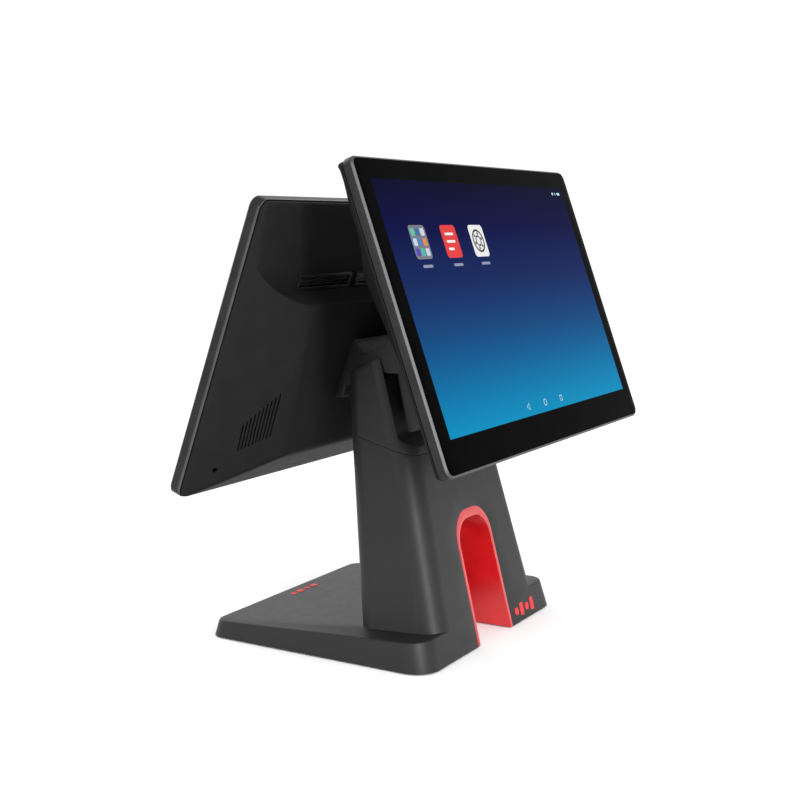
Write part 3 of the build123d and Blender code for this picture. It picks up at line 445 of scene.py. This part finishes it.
class RearCover:
    """Height field of one rear cover, cut by real slots, as a shell with thickness."""

    def __init__(self, display, port_opening):
        self.display = display
        self.half_w = SCREEN_W / 2 - INSET
        self.half_h = display.height / 2 - INSET
        self.rim = display.edge + RIM_EXTRA
        self.sill = display.height / 2 - RECESS_DROP
        self.holes = self.openings(port_opening)

    def hump(self, x, v):
        crest = CREST_HALF + CREST_SPREAD * v
        flank = self.rim + (HUMP_DEPTH - self.rim) * (self.half_w - abs(x)) / (self.half_w - crest)
        rise = (HUMP_DEPTH + 1 - self.rim) / (HUMP_FOOT - BEVEL_START)
        bevel = self.rim + rise * (v + self.half_h)
        return soft_min(soft_min(flank, bevel, CREASE), HUMP_DEPTH, CREASE)

    def floor(self, v):
        share = (v - self.sill) / RECESS_DROP
        return FLOOR_DEEP + min(max(share, 0), 1) * (FLOOR_SHALLOW - FLOOR_DEEP)

    def depth(self, x, v):
        base = self.hump(x, v)
        low = min(self.floor(v), base)
        s = box_distance(x, v - self.sill - RECESS_TALL, RECESS_HALF, RECESS_TALL, RECESS_R)
        if s < SHOULDER and base > low:
            if s <= -WALL_RUN:
                base = low
            else:
                drop = SHOULDER - math.sqrt(SHOULDER**2 - (SHOULDER - max(s, 0)) ** 2)
                top = max(base - drop, low)
                base = top if s >= 0 else low + (top - low) * (s + WALL_RUN) / WALL_RUN
        e = -box_distance(x, v, self.half_w, self.half_h, CORNER_R)
        if e < RIM_ROUND:
            base -= RIM_ROUND - math.sqrt(max(RIM_ROUND**2 - (RIM_ROUND - max(e, 0)) ** 2, 0))
        return base

    def openings(self, port_opening):
        holes = []
        for side in (-1, 1):
            for x, top, bottom in VENTS:
                slot = capsule(x, top, bottom, SLOT_R)
                middle = (top + bottom) / 2
                holes.append([(side * (px + VENT_LEAN * (pv - middle)), pv) for px, pv in slot])
            holes.append(ring_points(side * SCREW_X, SCREW_V, SCREW_HOLE_R, 16))
        middle = self.display.height / 2 - GRILLE_DROP
        for x in GRILLES:
            left, right = x - GRILLE_HALF, x + GRILLE_HALF
            holes.append(rectangle(left, right, middle - GRILLE_RISE, middle + GRILLE_RISE))
        if port_opening:
            rise = HUMP_FOOT - BEVEL_START
            drop = HUMP_DEPTH + 1 - self.rim
            middle = -self.half_h + rise / 2
            reach = PORT_REACH * rise / math.hypot(rise, drop)
            low, high = middle - reach, middle + reach
            holes.append(rectangle(-PORT_HALF, PORT_HALF, low, high))
        return holes

    def plan(self):
        """Loops of edges, and loose points filling the rest."""
        points, edges = [], []

        def loop(outline):
            start = len(points)
            points.extend(outline)
            count = len(outline)
            edges.extend((start + k, start + (k + 1) % count) for k in range(count))

        for inset in (0.0, 0.1, 0.35, 0.8, RIM_ROUND):
            loop(rounded_rect(2 * (self.half_w - inset), 2 * (self.half_h - inset), CORNER_R - inset))
        rim_count = len(points) // 5
        for shift in (-WALL_RUN, 0.0, 0.1, 0.4, 0.9, SHOULDER):
            width, tall = 2 * (RECESS_HALF + shift), 2 * (RECESS_TALL + shift)
            centre = (0.0, self.sill + RECESS_TALL)
            outline = rounded_rect(width, tall, RECESS_R + shift, 2.0, 40, centre)
            edge = RIM_ROUND + 0.3
            kept = [p for p in outline if -box_distance(*p, self.half_w, self.half_h, CORNER_R) > edge]
            start = len(points)
            points.extend(kept)
            for k in range(len(kept) - 1):
                if math.dist(kept[k], kept[k + 1]) < 6:
                    edges.append((start + k, start + k + 1))
        for hole in self.holes:
            loop(densify(hole, 6.0))
        tree = KDTree(len(points))
        for index, (x, v) in enumerate(points):
            tree.insert((x, v, 0), index)
        tree.balance()
        loose = []
        for i in range(int(2 * self.half_w / FINE)):
            for j in range(int(2 * self.half_h / FINE)):
                x, v = -self.half_w + (i + 0.5) * FINE, -self.half_h + (j + 0.5) * FINE
                if -box_distance(x, v, self.half_w, self.half_h, CORNER_R) < RIM_ROUND + 0.8:
                    continue
                bend = abs(
                    self.hump(x + 2, v) + self.hump(x - 2, v) + self.hump(x, v + 2) + self.hump(x, v - 2)
                    - 4 * self.hump(x, v)
                )
                if (i % 4 or j % 4) and bend < 0.05:
                    continue
                if tree.find((x, v, 0))[2] < 0.9:
                    continue
                loose.append((x, v))
        return points + loose, edges, rim_count

    def build(self):
        points, edges, rim_count = self.plan()
        flat = [Vector(p) for p in points]
        made, _, triangles, origins, _, _ = delaunay_2d_cdt(flat, edges, [], 0, 1e-5)
        boxes = []
        for hole in self.holes:
            xs, vs = zip(*hole)
            boxes.append((min(xs), max(xs), min(vs), max(vs)))
        kept = []
        for triangle in triangles:
            x = sum(made[i][0] for i in triangle) / 3
            v = sum(made[i][1] for i in triangle) / 3
            hit = any(
                x0 < x < x1 and v0 < v < v1 and inside((x, v), hole)
                for (x0, x1, v0, v1), hole in zip(boxes, self.holes)
            )
            if not hit:
                kept.append(list(triangle))
        coordinates = [(p[0], p[1], self.depth(p[0], p[1])) for p in made]
        placed = {}
        for index, sources in enumerate(origins):
            for source in sources:
                placed[source] = index
        ring = [placed[k] for k in range(rim_count)]
        faces = kept
        edge = self.display.edge
        for inset, depth in ((0.0, edge + 1.0), (1.3, edge + 1.0), (1.3, edge + 0.05)):
            outline = rounded_rect(2 * (self.half_w - inset), 2 * (self.half_h - inset), CORNER_R - inset)
            start = len(coordinates)
            coordinates += [(x, v, depth) for x, v in outline]
            following = [start + k for k in range(rim_count)]
            for k in range(rim_count):
                n = (k + 1) % rim_count
                faces.append([ring[k], ring[n], following[n], following[k]])
            ring = following
        return self.thicken(coordinates, faces)

    def thicken(self, coordinates, faces):
        name = self.display.prefix + "_back_shell"
        mesh = bmesh.new()
        vertices = [mesh.verts.new(self.display.point(*c)) for c in coordinates]
        for face in faces:
            mesh.faces.new([vertices[k] for k in face])
        for vertex in [v for v in mesh.verts if not v.link_faces]:
            mesh.verts.remove(vertex)
        bmesh.ops.recalc_face_normals(mesh, faces=mesh.faces)
        outward = sum((f.normal.dot(self.display.behind) * f.calc_area() for f in mesh.faces), 0.0)
        if outward < 0:
            bmesh.ops.reverse_faces(mesh, faces=mesh.faces)
        mesh.normal_update()
        outer_faces = list(mesh.faces)
        border = [e for e in mesh.edges if e.is_boundary]
        inner = {v: mesh.verts.new(v.co - v.normal * COVER_WALL * MM) for v in list(mesh.verts)}
        for face in outer_faces:
            mesh.faces.new([inner[v] for v in reversed(face.verts)])
        for e in border:
            a, b = e.verts
            face = e.link_faces[0]
            order = [v for v in face.verts]
            if order[(order.index(a) + 1) % len(order)] != b:
                a, b = b, a
            mesh.faces.new([b, a, inner[a], inner[b]])
        data = bpy.data.meshes.new(name)
        mesh.to_mesh(data)
        mesh.free()
        data.shade_smooth()
        data.set_sharp_from_angle(angle=math.radians(38))
        data.materials.append(SHELL_BLACK)
        shell = bpy.data.objects.new(name, data)
        bpy.context.scene.collection.objects.link(shell)
        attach(shell, self.display.body)
        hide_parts(self.display.prefix + "_rear_cover")
        return shell


def rectangle(x0, x1, v0, v1):
    return [(x0, v0), (x1, v0), (x1, v1), (x0, v1)]


def capsule(x, top, bottom, radius):
    """Upright slot with round ends."""
    points = []
    for k in range(7):
        a = math.radians(180 * k / 6)
        points.append((x + radius * math.cos(a), top - radius + radius * math.sin(a)))
    for k in range(7):
        a = math.radians(180 + 180 * k / 6)
        points.append((x + radius * math.cos(a), bottom + radius + radius * math.sin(a)))
    return points


def ring_points(x, v, radius, count):
    return [
        (x + radius * math.cos(math.tau * k / count), v + radius * math.sin(math.tau * k / count))
        for k in range(count)
    ]


def densify(outline, step):
    """Adds points so that no edge is longer than a step."""
    points = []
    for (x0, v0), (x1, v1) in zip(outline, outline[1:] + outline[:1]):
        count = max(1, math.ceil(math.hypot(x1 - x0, v1 - v0) / step))
        points += [(x0 + (x1 - x0) * k / count, v0 + (v1 - v0) * k / count) for k in range(count)]
    return points


RearCover(MAIN, True).build()
RearCover(CUSTOMER, False).build()


# ---------------------------------------------------------------- lit images on the glass
def plate(name, display, outline, depth, thickness, material):
    """Thin plate with a small bevelled rim, lying on the glass."""
    count = len(outline)
    cx = sum(p[0] for p in outline) / count
    cv = sum(p[1] for p in outline) / count
    lip = thickness
    top = []
    for x, v in outline:
        reach = math.hypot(x - cx, v - cv) or 1.0
        top.append((x - (x - cx) / reach * lip, v - (v - cv) / reach * lip))
    vertices = [display.point(x, v, depth) for x, v in outline]
    vertices += [display.point(x, v, depth - thickness) for x, v in top]
    faces = [list(reversed(range(count))), [count + k for k in range(count)]]
    for k in range(count):
        n = (k + 1) % count
        faces.append([k, n, count + n, count + k])
    return piece(name, vertices, faces, material, display.body)


def rounded(cx, cv, width, height, radius):
    return rounded_rect(width, height, radius, 0, 6, (cx, cv))


GLASS_TOP = -0.005
LAYER = 0.02
for display, image in ((MAIN, SCREEN), (CUSTOMER, IDLE_SCREEN)):
    lit_area = rounded(0, ACTIVE_RISE, ACTIVE_W, ACTIVE_H, 0.6)
    plate(display.prefix + "_screen_image", display, lit_area, GLASS_TOP, LAYER, image)

ICON_LAYER = GLASS_TOP - LAYER - 0.005
TOP_LAYER = ICON_LAYER - LAYER - 0.005
ICON_V = 53.3
ICON_W, ICON_H = 25.0, 26.3
ICONS = (
    ("folder", -127.6, (122, 124, 136)),
    ("list", -78.4, (232, 58, 58)),
    ("dial", -30.8, (240, 240, 240)),
)
INKS = {
    "white": lit_ink("ink_white", (246, 246, 250)),
    "dark": lit_ink("ink_dark", (52, 52, 54)),
    "label": lit_ink("ink_label", (150, 154, 178)),
    "nav": lit_ink("ink_nav", (205, 235, 250)),
}
for title, x, colour in ICONS:
    tile = rounded(x, ICON_V, ICON_W, ICON_H, 3.4)
    plate("icon_" + title, MAIN, tile, ICON_LAYER, LAYER, lit_ink("ink_" + title, colour))
    plate("label_" + title, MAIN, rounded(x + 1, 34.6, 15, 2.2, 1.0), ICON_LAYER, LAYER, INKS["label"])

TILES = [
    ((90, 200, 170), (60, 110, 160), (214, 220, 232)),
    ((196, 222, 240), (70, 130, 190), (238, 140, 70)),
    ((84, 66, 190), (70, 190, 165), (205, 214, 232)),
]
for row, colours in enumerate(TILES):
    for column, colour in enumerate(colours):
        centre = (-127.6 + 7.4 * (column - 1), ICON_V + 7.8 * (1 - row))
        ink = lit_ink(f"ink_tile_{row}{column}", colour)
        plate(f"tile_{row}{column}", MAIN, rounded(*centre, 5.8, 5.9, 1.4), TOP_LAYER, LAYER, ink)

for row, width in enumerate((14.0, 14.0, 9.0)):
    bar = rounded(-78.4 - (14.0 - width) / 2, ICON_V + 6.0 - 6.0 * row, width, 2.0, 0.9)
    plate(f"list_bar_{row}", MAIN, bar, TOP_LAYER, LAYER, INKS["white"])


def hoop(name, display, centre, outer, inner, count, material, turn=0.0):
    """Flat ring of any number of sides."""
    x, v = centre
    rims = []
    face = TOP_LAYER - LAYER
    for radius, depth in ((outer, TOP_LAYER), (outer, face), (inner, face), (inner, TOP_LAYER)):
        for k in range(count):
            a = math.tau * k / count + turn
            rims.append(display.point(x + radius * math.cos(a), v + radius * math.sin(a), depth))
    faces = []
    for band in range(4):
        following = (band + 1) % 4
        for k in range(count):
            n = (k + 1) % count
            faces.append([band * count + k, band * count + n, following * count + n, following * count + k])
    return piece(name, rims, faces, material, display.body)


DIAL = (-30.8, ICON_V)
hoop("dial_outer", MAIN, DIAL, 9.6, 7.9, 40, INKS["dark"])
hoop("dial_inner", MAIN, DIAL, 4.6, 3.2, 32, INKS["dark"])
for k in range(6):
    a = math.tau * k / 6 + 0.3
    spot = (DIAL[0] + 6.2 * math.cos(a), DIAL[1] + 6.2 * math.sin(a))
    plate(f"dial_tooth_{k}", MAIN, ring_points(*spot, 1.3, 10), TOP_LAYER, LAYER, INKS["dark"])

NAV_V = -84.4
hoop("nav_back", MAIN, (-33.0, NAV_V), 3.4, 2.5, 3, INKS["nav"], math.pi)
hoop("nav_home", MAIN, (-0.6, NAV_V), 2.9, 2.2, 24, INKS["nav"])
hoop("nav_recent", MAIN, (32.2, NAV_V), 3.3, 2.5, 4, INKS["nav"], math.pi / 4)
for k, (x, width) in enumerate(((149.5, 3.2), (155.5, 1.6), (162.5, 6.0))):
    plate(f"status_{k}", MAIN, rounded(x, 96.0, width, 2.4, 0.7), ICON_LAYER, LAYER, INKS["nav"])


# ---------------------------------------------------------------- trims on the displays' side bands
def closed_bands(name, outlines, material, display):
    """Skin between successive outlines of equal count, the last one joined to the first."""
    count = len(outlines[0])
    vertices = [display.point(*p) for outline in outlines for p in outline]
    faces = []
    for band in range(len(outlines)):
        following = (band + 1) % len(outlines)
        for k in range(count):
            n = (k + 1) % count
            faces.append([band * count + k, band * count + n, following * count + n, following * count + k])
    return piece(name, vertices, faces, material, display.body)


def trim_ring(display, shallow, deep, proud):
    """Rounded ridge that runs around the side band between two depths."""
    outlines = []
    for k in range(9):
        a = math.pi * k / 8
        out = proud * math.sin(a) - 0.15
        depth = (shallow + deep) / 2 - (deep - shallow) / 2 * math.cos(a)
        outline = rounded_rect(SCREEN_W + 2 * out, display.height + 2 * out, 9.0 + out)
        outlines.append([(x, v, depth) for x, v in outline])
    return closed_bands(display.prefix + "_band_trim", outlines, TRIM, display)


BAR_DROP, BAR_RISE = 9.5, 0.35        # distance from the display's end, and half the bar's width


def band_bars(display):
    """Dark dividing bars across the side band near its corners."""
    for side in (-1, 1):
        for end in (-1, 1):
            v = end * (display.height / 2 - BAR_DROP)
            x = side * (SCREEN_W / 2 - 0.4)
            reach = side * 0.5
            outlines = []
            for depth in (2.1, display.edge - 0.3):
                ring = rectangle(x, x + reach, v - BAR_RISE, v + BAR_RISE)
                outlines.append([(px, pv, depth) for px, pv in ring])
            name = f"{display.prefix}_band_bar_{'lr'[side > 0]}{'bt'[end > 0]}"
            closed_bands(name, outlines, GRILLE_BLACK, display)


TRIM = metal("band_trim", srgb(86, 86, 87), 0.3, (60, 60, 60), 0.000004)
trim_ring(CUSTOMER, CUSTOMER.edge - 1.9, CUSTOMER.edge + 0.5, 0.45)
for display in (MAIN, CUSTOMER):
    band_bars(display)


# ---------------------------------------------------------------- generic red marks on the base
FRONT_LEAN = math.radians(14.0)
FRONT_FOOT_Y = -80.4
TOP_HEIGHT, TOP_FALL = 21.23, 0.051   # slab's top at y = 0, and its fall per mm towards the customer
SUNK = 0.2


def on_front(x, height):
    """Point on the leaning front face of the base."""
    z = height * math.cos(FRONT_LEAN)
    return Vector((x, FRONT_FOOT_Y + math.tan(FRONT_LEAN) * z, z)) * MM


def on_top(x, y):
    return Vector((x, y, TOP_HEIGHT - TOP_FALL * y)) * MM


def mark(name, place, outline, normal, raised=0.25):
    """Small raised red shape, sunk a little so that nothing shows under it."""
    count = len(outline)
    lower = [place(*p) - normal * SUNK * MM for p in outline]
    upper = [place(*p) + normal * raised * MM for p in outline]
    faces = [list(reversed(range(count))), [count + k for k in range(count)]]
    for k in range(count):
        n = (k + 1) % count
        faces.append([k, n, count + n, count + k])
    return piece(name, lower + upper, faces, MARK_RED, "stand")


FRONT_NORMAL = Vector((0, -math.cos(FRONT_LEAN), math.sin(FRONT_LEAN)))
TOP_NORMAL = Vector((0, TOP_FALL, 1)).normalized()
for k, x in enumerate((45.8, 56.2, 66.6, 77.0)):
    mark(f"front_mark_{k}", on_front, rounded(x, 11.2, 6.0, 11.0 if k % 2 else 6.0, 1.6), FRONT_NORMAL)
for k, width in enumerate((4.6, 8.4, 4.6, 8.4)):
    mark(f"top_mark_{k}", on_top, rounded(-14.5 + 11 * k, 115.0, width, 6.0, 1.8), TOP_NORMAL)


# ---------------------------------------------------------------- finishes of the carried-over nodes
DRESSES = [
    ("stand_housing", STAND_BLACK, 0.7),
    ("neck_cap", STAND_BLACK, 0.6),
    ("neck_rear_cover", STAND_BLACK, 0.4),
    ("main_hinge_arm", ARM_BLACK, 0.8),
    ("customer_hinge_arm", ARM_BLACK, 0.8),
    ("tunnel_liner", LINER_RED, 0.9),
    ("base_plate", ZINC, 0.0),
    ("base_plate_screws", STEEL, 0.0),
    ("foot_pads", RUBBER, 0.0),
    ("upright_frame", ZINC, 0.3),
    ("upright_frame_bolts", STEEL, 0.2),
    ("hinge_carrier", ZINC, 0.2),
    ("hinge_carrier_bolts", STEEL, 0.2),
    ("power_button", BUTTON_GREY, 0.2),
    ("main_port_panel", STEEL, 0.1),
    ("main_port_sockets", SOCKET_BLACK, 0.1),
    ("main_logic_board", BOARD, 0.0),
    ("customer_driver_board", BOARD, 0.0),
    ("main_heat_spreader", HEAT_SINK, 0.1),
]
for prefix in ("main", "customer"):
    DRESSES += [
        (prefix + "_hinge_shaft", STEEL, 0.0),
        (prefix + "_hinge_washers", STEEL, 0.0),
        (prefix + "_hinge_nuts", STEEL, 0.1),
        (prefix + "_hinge_leaf", ZINC, 0.2),
        (prefix + "_hinge_screws", STEEL, 0.1),
        (prefix + "_cover_screws", STEEL, 0.0),
        (prefix + "_chassis_plate", ZINC, 0.0),
        (prefix + "_speakers", SOCKET_BLACK, 0.2),
        (prefix + "_vent_grilles", GRILLE_BLACK, 0.15),
        (prefix + "_lcd_panel", SOCKET_BLACK, 0.0),
        (prefix + "_cover_glass", GLASS, 0.3),
        (prefix + "_bezel_frame", BEZELS[prefix], 0.25),
    ]
for node, material, edge in DRESSES:
    dress(node, material, edge)
DRESSED = {node for node, _, _ in DRESSES} | {"main_rear_cover", "customer_rear_cover"}
if set(NODES) != DRESSED:
    raise ValueError(f"nodes without a finish: {sorted(set(NODES) ^ DRESSED)}")


# ---------------------------------------------------------------- floor, light and camera
def floor():
    """Pale seamless sweep of floor, far larger than the view."""
    shader = Shader("floor", 0.9)
    shader.link(
        shader.blend(shader.spread(shader.noise(3), 0, 1), (0.955, 0.955, 0.955), (0.975, 0.975, 0.975)),
        shader.bsdf.inputs["Base Color"],
    )
    reach = 30.0
    mesh = bpy.data.meshes.new("floor")
    corners = [(x, y, 0) for x, y in rectangle(-reach, reach, -reach, reach)]
    mesh.from_pydata(corners, [], [(0, 1, 2, 3)])
    mesh.materials.append(shader.material)
    made = bpy.data.objects.new("floor", mesh)
    bpy.context.scene.collection.objects.link(made)


def soft_box(name, position, target, size, power, tone=(1.0, 1.0, 1.0)):
    """Rectangular studio light aimed at a point."""
    data = bpy.data.lights.new(name, "AREA")
    data.shape = "RECTANGLE"
    data.size, data.size_y = size
    data.energy = power
    data.color = tone
    lamp = bpy.data.objects.new(name, data)
    lamp.location = position
    aim = Vector(target) - Vector(position)
    lamp.rotation_mode = "QUATERNION"
    lamp.rotation_quaternion = aim.to_track_quat("-Z", "Y")
    bpy.context.scene.collection.objects.link(lamp)
    return lamp


floor()
world = bpy.data.worlds.new("studio")
bpy.context.scene.world = world
world.use_nodes = True
background = world.node_tree.nodes["Background"]
background.inputs["Color"].default_value = (1.0, 1.0, 1.0, 1)
background.inputs["Strength"].default_value = 1.05

CENTRE = (0.0, 0.0, 0.2)
soft_box("key_box", (-1.2, -2.0, 2.2), CENTRE, (1.6, 1.6), 30)
soft_box("left_strip", (-1.9, 0.5, 0.6), CENTRE, (0.25, 1.6), 3)
soft_box("front_strip", (-1.2, -1.5, 0.4), CENTRE, (0.16, 1.4), 34)
soft_box("rear_box", (0.4, 2.2, 1.6), CENTRE, (1.4, 1.0), 16)

camera_data = bpy.data.cameras.new("camera")
camera_data.sensor_width = 36.0
camera_data.lens = 61.57
camera_data.clip_end = 100.0
camera = bpy.data.objects.new("camera", camera_data)
camera.location = (-1.01444, -0.55885, 0.3458)
YAW, PITCH = math.radians(29.423), math.radians(7.327)
look = Vector((math.cos(YAW) * math.cos(PITCH), math.sin(YAW) * math.cos(PITCH), -math.sin(PITCH)))
camera.rotation_mode = "QUATERNION"
camera.rotation_quaternion = look.to_track_quat("-Z", "Y")
bpy.context.scene.collection.objects.link(camera)
bpy.context.scene.camera = camera
bpy.context.scene.view_settings.view_transform = "Standard"
